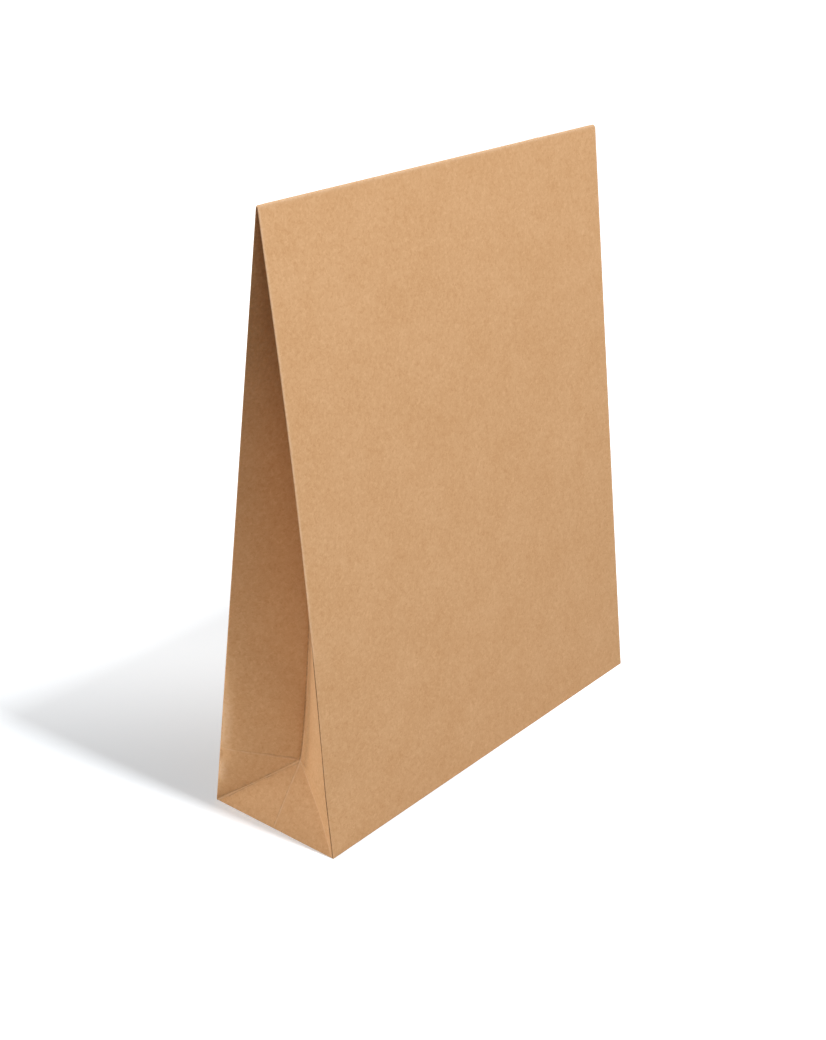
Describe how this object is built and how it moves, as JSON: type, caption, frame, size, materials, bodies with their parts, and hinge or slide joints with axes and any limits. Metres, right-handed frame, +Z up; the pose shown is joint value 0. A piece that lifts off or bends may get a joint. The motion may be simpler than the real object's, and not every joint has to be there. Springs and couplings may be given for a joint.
{
  "type": "brown paper bag",
  "caption": "Kraft paper bag standing closed: a wedge with a flat base, folded side gussets and a mouth closed by a fold along the top.",
  "frame": {"origin": "middle of the base, on the floor", "axes": "+X across the wide panels, towards the right when the front is seen; -Y out of the front panel; +Z up to the top fold"},
  "size_m": [0.26, 0.081, 0.316],
  "materials": {
    "kraft_paper": "matt brown kraft paper with fine darker and lighter fibres"
  },
  "bodies": {
    "root": {"paper_bag": "kraft_paper"}
  },
  "joints": []
}
